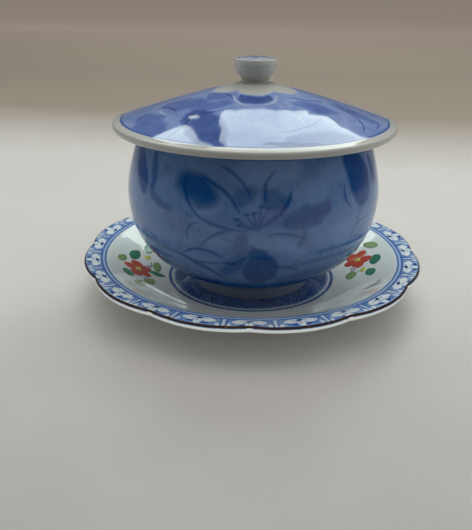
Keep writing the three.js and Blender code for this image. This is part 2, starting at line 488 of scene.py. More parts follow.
SPARSE_SPRAY = (
    (leaf_green, -17.5, 48.3, 8.0, 4.2, -10, 0.3),
    (leaf_green, -7.0, 51.0, 8.6, 4.8, 8, 0.3),
    (pale_green, 6.5, 53.0, 9.0, 3.8, -20, 0.3),
    (pale_green, -14.5, 41.0, 7.8, 4.8, 10, 0.25),
    (yellow, -11.9, 45.8, 4.4, 2.4, 10, 0.1),
    (lilac, -7.6, 42.4, 5.6, 2.6, 10, 0.2),
    (brown, -12.6, 43.2, 7.4, 0.45, 60, 0.2, 0.7),
    (lilac, -35.6, 51.4, 8.6, 3.0, 44, 0.4, 0.6),
    (brown, -37.0, 52.6, 6.6, 0.8, 64, 0.5, 0.8),
    (brown, -33.6, 52.0, 6.6, 0.8, 30, 0.5, 0.8),
    (brown, -35.4, 50.6, 6.6, 0.8, 48, 0.5, 0.8),
)
LEFT_TURN, BACK_TURN, RIGHT_TURN = -8.5, -108, 8.5  # degrees round the saucer
BUD_ANGLES = (-70.0, -101.0)


def spray(flower, drops, turn):
    """A flower with what surrounds it, turned round the saucer by so many degrees."""
    angle, radius, tilt = flower
    blossom(turn + angle, radius, tilt)
    for enamel, angle, *shape in drops:
        enamel.drop(turn + angle, *shape)


spray(FULL_FLOWER, FULL_SPRAY, LEFT_TURN)
spray(FULL_FLOWER, FULL_SPRAY, BACK_TURN)
spray(SPARSE_FLOWER, SPARSE_SPRAY, RIGHT_TURN)
for bud_angle in BUD_ANGLES:
    leaf_green.drop(bud_angle, 53.4, 6.4, 2.6, 4, 0.5)
    pale_green.drop(bud_angle + 6.5, 52.4, 4.2, 2.0, -24, 0.4)


# ---- painting with nodes


def feed(slot, value):
    """Sets a node's input to a plain value, or links it to a field or another node's output."""
    value = value.socket if isinstance(value, Field) else value
    if isinstance(value, bpy.types.NodeSocket):
        slot.id_data.links.new(value, slot)
    else:
        slot.default_value = value


def feed_all(node, values):
    """Feeds several inputs of a node, by their names."""
    for name, value in values.items():
        feed(node.inputs[name], value)


class Field:
    """A number that varies over a surface, kept as the output of a node."""

    def __init__(self, socket):
        self.socket = socket

    def calc(self, operation, *others, clamp=False):
        """The result of a Math node; the other values are fields or numbers."""
        node = self.socket.id_data.nodes.new("ShaderNodeMath")
        node.operation, node.use_clamp = operation, clamp
        for slot, value in zip(node.inputs, (self, *others)):
            feed(slot, value)
        return Field(node.outputs[0])

    def __add__(self, other):
        return self.calc("ADD", other)

    def __sub__(self, other):
        return self.calc("SUBTRACT", other)

    def __mul__(self, other):
        return self.calc("MULTIPLY", other)

    def __neg__(self):
        return self.calc("MULTIPLY", -1.0)

    def __abs__(self):
        return self.calc("ABSOLUTE")

    __radd__, __rmul__ = __add__, __mul__

    def __rsub__(self, other):
        return self.calc("MULTIPLY_ADD", -1.0, other)

    def over(self, other):
        """The larger of the two."""
        return self.calc("MAXIMUM", other)

    def times_plus(self, factor, term, clamp=False):
        return self.calc("MULTIPLY_ADD", factor, term, clamp=clamp)

    def inside(self, edge, soft):
        """1 where this is less than edge, 0 where it is more, with a soft step between."""
        if isinstance(edge, Field):
            return (edge - self).times_plus(1 / soft, 0.5, clamp=True)
        return self.times_plus(-1 / soft, 0.5 + edge / soft, clamp=True)

    def beyond(self, edge, soft):
        """1 where this is more than edge."""
        return self.times_plus(1 / soft, 0.5 - edge / soft, clamp=True)

    def near(self, middle, half, soft):
        """1 within half of the middle value."""
        return abs(self - middle).inside(half, soft)

    def wrapped(self, span):
        """Folded into the range from -span/2 to span/2."""
        return self.calc("WRAP", span / 2, -span / 2)


class Canvas:
    """A material whose paint is placed by where a point is on its piece, in millimetres."""

    def __init__(self, name):
        self.material = bpy.data.materials.new(name)
        self.material.use_nodes = True
        self.tree = self.material.node_tree
        self.shader = self.tree.nodes["Principled BSDF"]
        place = self.add("TexCoord")
        scale = self.vector_math("SCALE", place.outputs["Object"])
        scale.inputs["Scale"].default_value = 1 / MM
        self.place = scale.outputs[0]
        parts = self.add("SeparateXYZ")
        feed(parts.inputs[0], self.place)
        self.x, self.y, self.z = (Field(s) for s in parts.outputs)
        self.radius = (self.x * self.x + self.y * self.y).calc("SQRT")
        self.angle = self.y.calc("ARCTAN2", self.x)
        facing = self.add("SeparateXYZ")
        feed(facing.inputs[0], place.outputs["Normal"])
        east, north, self.up = (Field(s) for s in facing.outputs)
        self.outward = (east * self.x + north * self.y).calc("DIVIDE", self.radius.over(0.1))

    def add(self, kind):
        return self.tree.nodes.new("ShaderNode" + kind)

    def vector_math(self, operation, *values):
        node = self.add("VectorMath")
        node.operation = operation
        for slot, value in zip(node.inputs, values):
            feed(slot, value)
        return node

    def noise(self, size, detail=2, rough=0.5, place=None, seed=0):
        """Soft noise from about -0.5 to 0.5 with blotches of the given size."""
        node = self.add("TexNoise")
        node.noise_dimensions = "4D"
        feed_all(node, {"W": seed, "Scale": 1 / size, "Detail": detail, "Roughness": rough})
        feed(node.inputs["Vector"], place or self.place)
        return Field(node.outputs["Fac"]) - 0.5

    def spot(self, u, v, wander=0, size=6, seed=0):
        """A flat place (u, v) on the painting, moved about a little as a hand would."""
        if wander:
            u = u + self.noise(size, 1, seed=seed) * (2 * wander)
            v = v + self.noise(size, 1, seed=seed + 7) * (2 * wander)
        join = self.add("CombineXYZ")
        feed(join.inputs[0], u)
        feed(join.inputs[1], v)
        return join.outputs[0]

    def brush(self, spot, start, end, half, bend, soft, tail):
        """One brush stroke of half-width half from start to end that bows out by bend, as a mask."""
        step = np.array(end, float) - np.array(start, float)
        length = float(np.hypot(*step))
        ahead = (step[0] / length**2, step[1] / length**2, 0.0)
        left = (-step[1] / length, step[0] / length, 0.0)
        offset = self.vector_math("SUBTRACT", spot, (*start, 0.0)).outputs[0]
        along = Field(self.vector_math("DOT_PRODUCT", offset, ahead).outputs["Value"])
        across = Field(self.vector_math("DOT_PRODUCT", offset, left).outputs["Value"])
        held = along.times_plus(1.0, 0.0, clamp=True)
        arch = held - held * held
        side = across - arch * (4 * bend) if bend else across
        over_end = (along - held) * length
        distance = (over_end * over_end + side * side).calc("SQRT")
        half_there = arch.times_plus(4 * half * (1 - tail), half * tail)
        return distance.inside(half_there, soft)

    def strokes(self, spot, strokes):
        """The darkest of several strokes: each (start, end, half, bend, soft, tail, strength)."""
        ink = None
        for *stroke, strength in strokes:
            mask = self.brush(spot, *stroke) * strength
            ink = ink.over(mask) if ink else mask
        return ink

    def ramp(self, field, stops):
        """The color that a field picks from stops, each a place from 0 to 1 and a color."""
        node = self.add("ValToRGB")
        ramp = node.color_ramp
        while len(ramp.elements) < len(stops):
            ramp.elements.new(0.5)
        for element, (place, color) in zip(ramp.elements, stops):
            element.position, element.color = place, (*color, 1)
        feed(node.inputs[0], field)
        return node.outputs[0]

    def mix(self, base, color, mask):
        """Base with color over it where mask is 1; both are tuples or outputs of this canvas."""
        node = self.add("Mix")
        node.data_type = "RGBA"
        for slot, value in ((node.inputs["A"], base), (node.inputs["B"], color)):
            feed(slot, (*value, 1) if isinstance(value, tuple) else value)
        feed(node.inputs["Factor"], mask)
        return node.outputs["Result"]

    def color(self, socket):
        feed(self.shader.inputs["Base Color"], socket)

    def rough(self, field):
        feed(self.shader.inputs["Roughness"], field)

    def bump(self, height, depth):
        """Raises the surface by height, a field from 0 to 1, times depth in millimetres."""
        node = self.add("Bump")
        feed_all(node, {"Strength": 1.0, "Distance": depth * MM, "Height": height})
        feed_all(self.shader, {"Normal": node.outputs[0], "Coat Normal": node.outputs[0]})


# The white of the cup, the lid and the knob is the saucer's white painted darker: painted shade.
SHADED_PORCELAIN = (0.47, 0.485, 0.465)
BRIGHT_PORCELAIN = (0.70, 0.775, 0.755)
POOLED_GLAZE = (0.66, 0.69, 0.64)
# Painted highlight for the knob's top edge.
KNOB_EDGE_HIGHLIGHT = (0.64, 0.65, 0.61)
NECK_GLAZE = (0.50, 0.53, 0.50)
# A warm tint of the porcelain, kept as dark as the porcelain's painted shade.
IVORY = (0.455, 0.43, 0.385)
VIOLET = (0.15, 0.14, 0.33)
SEA_GREEN = (0.02, 0.11, 0.20)
IRON, WORN_IRON = (0.028, 0.017, 0.013), (0.12, 0.06, 0.03)
CLAY, CLAY_SPECK, CLAY_STAIN = (0.60, 0.55, 0.48), (0.38, 0.31, 0.24), (0.42, 0.36, 0.29)
# The cup foot's sides are painted dark blue-grey: painted shade of the deep shadow under the bowl.
SAUCER_FOOT_GLAZE, CUP_FOOT_PAINTED_SHADE = (0.66, 0.68, 0.66), (0.25, 0.30, 0.36)

# Colors of the painting by its density, from bare glaze at 0 to the deepest blue at 1.
COBALT = (
    (0.0, SHADED_PORCELAIN),
    (0.2, (0.30, 0.39, 0.60)),
    (0.45, (0.105, 0.175, 0.44)),
    (0.7, (0.035, 0.075, 0.27)),
    (1.0, (0.008, 0.022, 0.10)),
)
SAUCER_BLUE = (
    (0.0, BRIGHT_PORCELAIN),
    (0.18, (0.38, 0.51, 0.70)),
    (0.42, (0.09, 0.195, 0.45)),
    (0.7, (0.02, 0.065, 0.24)),
    (1.0, (0.006, 0.014, 0.07)),
)
SLATE = (
    (0.0, SHADED_PORCELAIN),
    (0.2, (0.19, 0.32, 0.60)),
    (0.45, (0.08, 0.17, 0.375)),
    (0.7, (0.009, 0.083, 0.30)),
    (1.0, (0.0006, 0.034, 0.18)),
)


def glaze(canvas, ripple=0.006, coat=0.25, ior=1.52):
    """A clear glaze: glossy, faintly uneven, with small pits and slow waves."""
    feed_all(canvas.shader, {"IOR": ior, "Coat Weight": coat, "Coat Roughness": 0.03, "Coat IOR": 1.5})
    waves = canvas.noise(9, seed=3)
    peel = canvas.noise(1.6, seed=5)
    pits = canvas.noise(0.7, 1, seed=9).beyond(0.24, 0.05)
    canvas.bump(waves * 2.2 + peel * 0.5 - pits * 0.35 + 0.5, ripple)
    canvas.rough(waves.times_plus(0.03, 0.055) + pits * 0.1)


# ---- saucer paint

BORDER_MOTIFS = 24
BORDER_RADIUS = RIM_CREST - 5.2
SCALE_ROW, SCALES_ROUND = 4.0, 30  # height of the well's rows of scales, and scales in a row


def saucer_border(canvas, wobble):
    """Border: white four-petalled flowers with paired lines between them on a broken blue ground."""
    bay = canvas.angle.wrapped(2 * math.pi / BORDER_MOTIFS)
    u = bay * BORDER_RADIUS + wobble
    v = canvas.radius - BORDER_RADIUS + wobble
    spot = canvas.spot(u, v)
    mirrored = canvas.spot(abs(u), v)
    mid = 2 * math.pi * BORDER_RADIUS / BORDER_MOTIFS / 2
    petals = canvas.strokes(mirrored, [
        ((1.5, 0.4), (4.6, 0.9), 1.5, 0.25, 0.5, 0.6, 1),
        ((1.3, -0.5), (3.9, -1.3), 1.1, -0.2, 0.5, 0.5, 0.9),
        ((0, 1.3), (0, 3.3), 1.25, 0, 0.45, 0.8, 1),
        ((0, -1.1), (0, -2.3), 0.95, 0, 0.45, 0.7, 0.9),
        ((mid, -3.2), (mid, 3.8), 0.5, 0, 0.4, 0.8, 0.75),
        ((mid - 1.9, 2.6), (mid - 1.5, 3.9), 0.7, 0, 0.5, 0.7, 0.8),
    ])
    darks = canvas.strokes(mirrored, [
        ((1.3, 3.6), (3.3, 2.7), 0.7, 0, 0.5, 0.5, 0.7),
        ((2.4, -2.5), (5.4, -2.7), 0.75, 0, 0.6, 0.4, 0.5),
        ((4.7, -1.5), (6.4, 0.4), 0.4, 0, 0.5, 0.6, 0.45),
        ((mid - 0.2, -2.8), (5, 3), 0.22, 0, 0.35, 0.8, 0.5),
        ((mid - 1, -3.2), (mid - 0.8, 3.8), 0.32, 0, 0.4, 0.9, 0.66),
    ])
    eye = canvas.strokes(spot, [
        ((-0.9, 0.25), (0.8, -0.2), 0.62, 0, 0.35, 0.5, 0.95),
        ((-0.5, 1.1), (-0.1, 2.3), 0.2, 0, 0.3, 0.5, 0.6),
        ((-2.6, 0.5), (-1.3, 0.3), 0.2, 0, 0.3, 0.5, 0.5),
        ((1.2, 0.1), (2.7, -0.3), 0.2, 0, 0.3, 0.5, 0.5),
    ])
    ground = wobble.times_plus(0.6, 0.36).over(darks)
    ink = (ground - petals * ground * 0.95).over(eye)
    inner = canvas.radius - (BAND_INNER + wobble * 0.4)
    band = inner.inside(2.4, 0.35)
    lines = inner.near(0.4, 0.3, 0.35).over(inner.near(2.0, 0.5, 0.4))
    ink = ink - band * ink + band * (lines * 0.34 + 0.22)
    return ink * inner.beyond(0.0, 0.35)


def medallion(canvas, wobble):
    """The well's round picture: a violet-blue ring round rows of small overlapping scales."""
    radius = canvas.radius + wobble * 0.6
    ring = radius.near(WELL_RADIUS + 2.2, 0.6, 0.5)
    thin = radius.near(WELL_RADIUS + 0.6, 0.14, 0.25)
    row = radius * (1 / SCALE_ROW)
    count = row.calc("FLOOR")
    within = row - count
    half = count.calc("MODULO", 2.0) * 0.5
    cells = (canvas.angle * (SCALES_ROUND / (2 * math.pi)) + half).wrapped(1.0)
    arc = (cells * cells * 4 + within * within).calc("SQRT")
    scales = (arc * 2.2).wrapped(1.0)
    lines = abs(scales).inside(0.17, 0.16)
    # A dense blue wash over the well: partly the picture's own wash, partly painted shade of the cup's
    # shadow.
    washes = canvas.noise(7, seed=29) * 0.4 + 0.5
    field = radius.inside(WELL_RADIUS + 0.2, 0.4) * (lines * 0.3 + washes)
    return (ring * 0.6).over(thin * 0.5).over(field)


def saucer_material():
    """Blue painting, a ring round the foot underneath, and the worn iron-brown line on the rim."""
    canvas = Canvas("saucer_glaze_paint")
    wobble = canvas.noise(2.2, seed=1)
    upper_face = canvas.up.beyond(0.15, 0.1)
    ink = saucer_border(canvas, wobble).over(medallion(canvas, wobble)) * upper_face
    back_ring = canvas.radius.near(SAUCER_FOOT_OUT + 4.0, 0.35, 0.3).over(
        canvas.radius.near(SAUCER_FOOT_OUT + 5.6, 0.15, 0.25)
    )
    ink = ink.over(back_ring * (1 - upper_face) * 0.55)
    pooled = canvas.noise(14, 3, seed=2)
    shade = ink.over(0.0) + abs(pooled) * 0.02
    paint = canvas.ramp(shade, SAUCER_BLUE)
    tint = canvas.mix(paint, POOLED_GLAZE, pooled.beyond(0.16, 0.3) * 0.25)
    lobe = 1 - abs((canvas.angle * (LOBES / 2)).calc("SINE")).calc("POWER", LOBE_POWER)
    from_edge = RIM_CREST - canvas.radius - lobe * LOBE_DEPTH
    iron = (from_edge + wobble * 0.7).inside(0.75, 0.3) * canvas.up.beyond(0.3, 0.15)
    worn = canvas.noise(1.4, 3, seed=4).beyond(0.17, 0.1)
    tint = canvas.mix(tint, canvas.mix(IRON, WORN_IRON, worn), iron)
    canvas.color(tint)
    glaze(canvas)
    return canvas.material


def enamel_material(name, light, dark, vein):
    """Glassy enamel: thin and light in the middle of a stroke, darker where it pools at the edge."""
    canvas = Canvas(name)
    marks = canvas.add("Attribute")
    marks.attribute_name = "brush_mark"
    split = canvas.add("SeparateXYZ")
    feed(split.inputs[0], marks.outputs["Vector"])
    along, across, edge = (Field(s) for s in split.outputs)
    pooled = edge.beyond(0.78, 0.5)
    streak = canvas.noise(1.1, 3, 0.6, seed=91)
    rib = abs(across).inside(0.06, 0.08) * vein
    barbs = abs((along * 3 + abs(across) * 1.6).wrapped(1.0)).inside(0.08, 0.1) * (vein * 0.6)
    mask = (pooled * 0.55 + streak * 0.9 + 0.2).calc("MULTIPLY", 1.0, clamp=True)
    canvas.color(canvas.mix(light, dark, mask.over(rib).over(barbs)))
    canvas.bump(streak + pooled * 0.3 + 0.5, 0.02)
    canvas.rough(streak * 0.1 + 0.16)
    feed_all(canvas.shader, {"IOR": 1.55, "Coat Weight": 0.3, "Coat Roughness": 0.05})
    return canvas.material


ENAMELS = (  # enamel, name of its material, color in the middle and at the edge, and strength of veins
    (red, "enamel_red_glass", (0.62, 0.075, 0.035), (0.33, 0.03, 0.02), 0),
    (leaf_green, "enamel_green_glass", (0.03, 0.26, 0.15), (0.008, 0.10, 0.06), 0.8),
    (pale_green, "enamel_pale_green_glass", (0.26, 0.44, 0.16), (0.12, 0.22, 0.08), 0.7),
    (yellow, "enamel_yellow_glass", (0.72, 0.66, 0.13), (0.40, 0.40, 0.08), 0),
    (lilac, "enamel_lilac_glass", (0.55, 0.50, 0.62), (0.30, 0.25, 0.36), 0),
    (brown, "enamel_brown_line", (0.16, 0.12, 0.09), (0.06, 0.045, 0.04), 0),
)
for enamel, *look in ENAMELS:
    enamel.make(enamel_material(*look))


# ---- cup and lid paint

# Brush strokes in millimetres of painting: start, end, half-width, bow to the left of the stroke's way,
# softness of its edge, share of the width left at its ends, and strength. Washes are broad and soft, pale
# strokes thin the blue, and resist strokes keep thin lines nearly free of it.

CUP_LINES = (
    ((-22.5, 14.5), (-14.5, 2), 0.5, -2.2, 0.9, 0.3, 0.26),
    ((-15.5, 2.6), (-4.5, -0.2), 0.5, -0.8, 0.9, 0.3, 0.28),
    ((-16, 15.5), (-4, 5.8), 0.55, 1.6, 0.9, 0.3, 0.3),
    ((-10, 18.8), (-0.8, 10.5), 0.5, 1.6, 0.9, 0.3, 0.26),
    ((4.3, 8), (7, 18), 0.5, 1.7, 0.9, 0.3, 0.26),
    ((8.2, 5), (12, 11.5), 0.65, -0.5, 0.8, 0.3, 0.34),
    ((-20.5, -5.5), (-16.5, 1), 0.4, 1.8, 0.8, 0.3, 0.24),
    ((-16, -7), (-1.5, -0.4), 0.4, 2.3, 0.8, 0.3, 0.22),
    ((-24, -12.6), (-8.5, -11.5), 0.5, 3.4, 0.8, 0.3, 0.3),
    ((-24, -12.8), (-7.5, -12.5), 0.42, -1.5, 0.8, 0.3, 0.26),
    ((-10, -12.8), (0, -8), 0.45, -2, 0.8, 0.3, 0.26),
    ((-9, -21), (-27, -11.5), 0.7, -1.2, 1, 0.3, 0.34),
    ((-27, -11.8), (-60, -7), 0.7, 1, 1.2, 0.3, 0.34),
    ((-30, -15), (-62, -12.5), 0.9, 1.4, 1.4, 0.3, 0.26),
    ((8, -14.2), (16, -16.5), 0.6, 0.6, 1, 0.3, 0.3),
    ((22, -10), (62, -11), 0.6, 0.8, 1.4, 0.3, 0.2),
    ((14, -14.5), (58, -15.5), 0.7, 1.6, 1.4, 0.3, 0.2),
    ((5, -2.2), (17, -4.5), 0.4, 1.4, 0.8, 0.3, 0.18),
    ((32, 11.5), (34.5, 3.5), 0.5, -1.2, 0.8, 0.3, 0.28),
    ((36, -9), (44, -2), 0.4, 3, 0.8, 0.3, 0.2),
    ((-44, -6.5), (-34, -12), 0.45, 2, 0.8, 0.3, 0.24),
)
CUP_WASHES = (
    ((3.2, -16.6), (3.4, -15.4), 6.1, 0, 1.6, 0.95, 0.44),
    ((3.2, -13), (0.6, -6.4), 3, 0, 2, 0.12, 0.34),
    ((-3.4, -3.8), (-2.8, -9.5), 2.6, 0, 1.6, 0.8, 0.09),
    ((-20.8, 12.6), (-15.6, 10.2), 4.6, 0, 3.2, 0.9, 0.36),
    ((-48.5, 18.5), (-41, 8), 3.2, 0, 1.6, 0.6, 0.44),
    ((-37.2, 19.5), (-36.5, 8), 1.4, 0, 1.4, 0.7, 0.26),
    ((-37, 7.5), (-28, 4), 1.5, -0.8, 1.4, 0.5, 0.26),
    ((37.5, 18), (42, 7.5), 5.8, 0.8, 1.8, 0.8, 0.44),
    ((50, 17), (53, 9), 2.4, 0, 1.8, 0.6, 0.34),
    ((-9.5, -17.5), (-3, -12.5), 2.6, 0, 2.8, 0.7, 0.28),
    ((-4, 9), (-1, 12), 2.8, 0, 2.4, 0.7, 0.16),
    ((5.6, 9.8), (8.5, 8.6), 3, 0, 2.4, 0.7, 0.2),
    ((11.5, 2.5), (24, 5.5), 3.6, -0.6, 2, 0.6, 0.2),
    ((-60, 3), (-66, 12), 4.4, 1, 2.4, 0.5, 0.3),
    ((64, -2), (60, -14), 3.4, 1, 2.4, 0.5, 0.26),
    ((-48, -19), (-14, -25), 3.6, -1, 3, 0.6, 0.24),
    ((12, -22), (46, -17), 3.6, -1, 3, 0.6, 0.22),
)
CUP_PALE = (
    ((-2, 18), (12, 19), 5.4, 0, 3, 0.8, 0.14),
    ((24, 15), (31, 17), 4, 0, 3, 0.8, 0.07),
    ((24, -6), (42, -2), 4.5, 0, 4, 0.8, 0.07),
    ((-12, 6), (-20, 7.5), 3, 0, 2.5, 0.6, 0.08),
    ((16, 11.5), (24, 13), 4, 0, 3, 0.7, 0.08),
    ((9, 12), (3, 3), 1.6, 0, 1.6, 0.6, 0.06),
    ((0, -4.5), (16, -9), 2.8, 1, 2.6, 0.6, 0.1),
    ((-13, -5.5), (-6, -3), 2.4, 0, 2.2, 0.6, 0.07),
)
CUP_VIOLET = (
    ((3.5, 3.4), (8.5, 5.6), 2.8, 0, 2.6, 0.8, 0.4),
    ((13, 2.4), (25, 6.4), 3, -0.6, 2.4, 0.6, 0.34),
    ((14, -2), (17, -6), 2.4, 0, 2.4, 0.7, 0.25),
    ((-3.6, -4), (-3, -8), 2.4, 0, 1.8, 0.8, 0.3),
    ((-30, 2), (-22, -2), 3, 0, 3, 0.7, 0.2),
)
STAMEN_TIPS = (
    (-4.6, 3.2), (-3.9, 1.2), (-1.6, 4.8), (0.6, 5.2), (2.9, 7.4), (4.7, 6.9), (6.8, 4.0), (8.6, 4.8),
)
CUP_WRAP = 45.0  # millimetres of painting for one radian round the cup
LIP_LINE = CUP_MOUTH - 3.6
# Painted shade: a dark line where the bowl meets its foot.
FOOT_LINE = CUP_UNDER + 1.1


def cup_paint(canvas):
    """Densities of blue and of violet on the cup: a lily with buds and long leaves, twice round."""
    turn = (canvas.angle + math.pi / 2).wrapped(math.pi)
    u = turn * CUP_WRAP
    v = canvas.z - BELLY_LEVEL
    spot = canvas.spot(u, v, 0.7, 8, seed=11)
    loose = canvas.spot(u, v, 1.6, 7, seed=13)
    lines = canvas.strokes(spot, CUP_LINES)
    for tip in STAMEN_TIPS:
        thread = canvas.brush(spot, (1.8, -0.3), tip, 0.26, 0.3, 0.5, 0.6) * 0.22
        head_end = (tip[0] + 0.4, tip[1] + 0.2)
        head = canvas.brush(spot, (tip[0] - 0.4, tip[1]), head_end, 0.5, 0, 0.7, 0.9) * 0.26
        lines = lines.over(thread).over(head)
    washes = canvas.strokes(loose, CUP_WASHES)
    pale = canvas.strokes(loose, CUP_PALE)
    grain = canvas.noise(1, 3, 0.55, place=canvas.spot(u * 0.5, v * 0.14), seed=15)
    cloud = canvas.noise(11, 3, 0.55, seed=17)
    # Painted shade: the blue grows denser towards the foot, under the belly.
    painted_shade_toward_foot = v.inside(-23.0, 18.0) * 0.5
    ink = cloud * 0.2 + grain * 0.12 + 0.355 + painted_shade_toward_foot - pale + washes + lines
    ink = ink.over(canvas.z.near(LIP_LINE, 0.5, 0.7) * 0.8)
    # Painted shade: a dark line just above the foot, where the bowl meets it.
    foot_line = canvas.z.near(FOOT_LINE, 0.4, 0.4) * 0.8
    violet = canvas.strokes(loose, CUP_VIOLET)
    return ink.over(foot_line), violet


def cup_material():
    canvas = Canvas("cup_glaze_paint")
    ink, violet = cup_paint(canvas)
    outside = canvas.outward.beyond(0.2, 0.15) * canvas.z.inside(CUP_MOUTH - 0.8, 0.3)
    inside_ring = canvas.z.near(CUP_MOUTH - 2.6, 0.35, 0.4) * canvas.outward.inside(-0.3, 0.2) * 0.7
    paint = canvas.ramp((ink * outside).over(inside_ring), SLATE)
    paint = canvas.mix(paint, VIOLET, violet * outside)
    green = canvas.noise(5, seed=21).beyond(0.13, 0.14) * outside * 0.4
    canvas.color(canvas.mix(paint, SEA_GREEN, green))
    glaze(canvas, coat=0.0, ior=1.43)
    return canvas.material


LID_WASHES = (
    ((-1.2, 17.4), (1.2, 17.4), 4.6, 0, 0.8, 0.95, 0.36),
    ((-13, 12.5), (-12, 12.8), 3.8, 0, 1.2, 1, 0.14),
    ((-30, 11), (-19, 17), 5, 0, 2.4, 0.7, 0.18),
    ((-38, 17), (-32, 34), 5, 0, 2, 0.6, 0.17),
    ((-19, 27), (-12, 46), 6.4, 0, 1.6, 0.7, 0.32),
    ((-20, 22), (-9, 20.5), 3, 0, 1.8, 0.6, 0.16),
    ((15, 17.5), (27, 18), 3.6, 0, 2.4, 0.6, 0.11),
    ((21, 21), (24, 18.5), 2.6, 0, 1.6, 0.7, 0.16),
    ((30, 8), (40, 14), 4, 0, 2.2, 0.7, 0.14),
    ((30, 36), (12, 44), 3.4, 0, 2, 0.6, 0.2),
    # Painted reflection: this dark band near the rim is the saucer's rim seen in the glaze.
    ((3, 47.2), (26, 43.4), 1.3, 0.6, 0.9, 0.5, 0.4),
)
LID_LINES = (
    ((33, 14), (36, 29), 0.4, -1.8, 0.5, 0.3, 0.24),
    ((42, 12), (41, 22), 0.35, -1.2, 0.5, 0.3, 0.22),
    ((10, 14), (24, 9), 0.45, 1.4, 0.5, 0.3, 0.26),
    ((-26, 22), (-34, 10), 0.4, 1.4, 0.5, 0.3, 0.24),
    ((-7.5, 18.5), (-16, 8.5), 0.4, 2.4, 0.5, 0.3, 0.24),
    ((-22, 26), (-6, 23.5), 0.4, 1.2, 0.5, 0.3, 0.22),
    ((27, 10), (46, 6), 0.4, 1.6, 0.5, 0.3, 0.2),
    ((-44, 8), (-30, 6), 0.4, 1.6, 0.5, 0.3, 0.22),
    ((-28, 40), (-20, 24), 0.4, 1.6, 0.5, 0.3, 0.2),
    ((8, 40), (22, 26), 0.4, 2.2, 0.5, 0.3, 0.2),
)
LID_RESIST = (
    ((-7.2, 15), (-2, 23.2), 0.5, 1.6, 0.5, 0.5, 1),
    ((7.2, 14.4), (2.6, 23.2), 0.45, -1.6, 0.5, 0.5, 1),
    ((-33, 13), (-29.5, 21), 0.5, 0.8, 0.7, 0.4, 0.6),
    ((-25, 13), (-21, 8.5), 0.4, 0.6, 0.6, 0.4, 0.6),
    ((28, 15), (30.5, 24), 0.4, -0.9, 0.6, 0.4, 0.5),
)
COLLAR_BAYS, COLLAR_RADIUS = 6, 16.2  # the bare patch round the knob, scalloped
LID_MARGIN = 3.0  # width of the bare edge


def lid_paint(canvas):
    """Density of blue on the lid: leaves and washes round a bare collar, the same on both sides."""
    facing = canvas.y.calc("SIGN")
    u, v = -(canvas.x * facing), abs(canvas.y)
    spot = canvas.spot(u, v, 0.6, 6, seed=31)
    loose = canvas.spot(u, v, 1.4, 5, seed=33)
    washes = canvas.strokes(loose, LID_WASHES)
    lines = canvas.strokes(spot, LID_LINES)
    resist = canvas.strokes(spot, LID_RESIST)
    bite = canvas.brush(spot, (-8, 10.4), (8, 10.4), 3.2, 0, 0.8, 0.9)
    drawn_out = canvas.spot(canvas.angle * 5, canvas.radius * 0.11)
    sweep_marks = canvas.noise(1, 3, 0.6, place=drawn_out, seed=35)
    cloud = canvas.noise(10, 3, 0.55, seed=37)
    flecks = canvas.noise(2.6, 2, 0.6, seed=43).beyond(0.17, 0.1) * 0.14
    ground = cloud * 0.34 + sweep_marks * 0.26 + 0.36 - flecks
    ink = (ground.over(0.1) + washes - washes * bite + lines) * (1 - resist * 0.62)
    bay = (canvas.angle + math.pi / 2).wrapped(2 * math.pi / COLLAR_BAYS)
    collar = COLLAR_RADIUS - bay * bay * 15 + canvas.noise(5, 1, seed=39) * 3.0
    ink = ink * (canvas.radius - collar).beyond(0.0, 2.0)
    rim = LID_REACH - canvas.radius
    ink = ink * rim.beyond(LID_MARGIN, 0.4)
    return ink.over(rim.near(LID_MARGIN + 0.3, 0.42, 0.4) * 0.66)


def lid_material():
    canvas = Canvas("lid_glaze_paint")
    ink = lid_paint(canvas)
    upper = canvas.up.beyond(0.2, 0.1)
    inner_ring = canvas.radius.near(33.0, 0.4, 0.4) * (1 - upper) * 0.6
    paint = canvas.ramp((ink * upper).over(inner_ring), COBALT)
    ivory = canvas.noise(16, seed=41).times_plus(1.0, 0.35, clamp=True) * 0.5
    bare = ink.inside(0.08, 0.1)
    canvas.color(canvas.mix(paint, IVORY, ivory * bare))
    glaze(canvas, 0.008)
    return canvas.material


def plain_material():
    """White glaze of the knob and the lid's inner ring, with a small blue flower on the knob's top."""
    canvas = Canvas("plain_glaze_paint")
    wobble = canvas.noise(1.8, seed=51)
    petals = (canvas.angle * 3).calc("SINE")
    edge = petals * petals * 2.4 + 2.2 + wobble
    top = canvas.z.beyond(KNOB_TOP - 1.0, 0.3)
    ink = ((canvas.radius - edge).near(0.0, 0.35, 0.4) * 0.7).over(canvas.radius.inside(edge, 0.5) * 0.32)
    ink = ink.over((canvas.radius + wobble).near(6.3, 0.3, 0.4) * 0.5) * top
    paint = canvas.ramp(ink, COBALT)
    pooled = (canvas.z - (KNOB_SEAT + 1.4)).inside(0.0, 1.2) * canvas.z.beyond(KNOB_SEAT - 0.5, 0.2)
    # Painted highlight: a lighter band round the knob's top edge.
    painted_edge_highlight = canvas.z.near(KNOB_TOP - 1.5, 0.8, 0.7) * 0.55
    paint = canvas.mix(paint, KNOB_EDGE_HIGHLIGHT, painted_edge_highlight)
    canvas.color(canvas.mix(paint, NECK_GLAZE, pooled * 0.55))
    glaze(canvas)
    return canvas.material


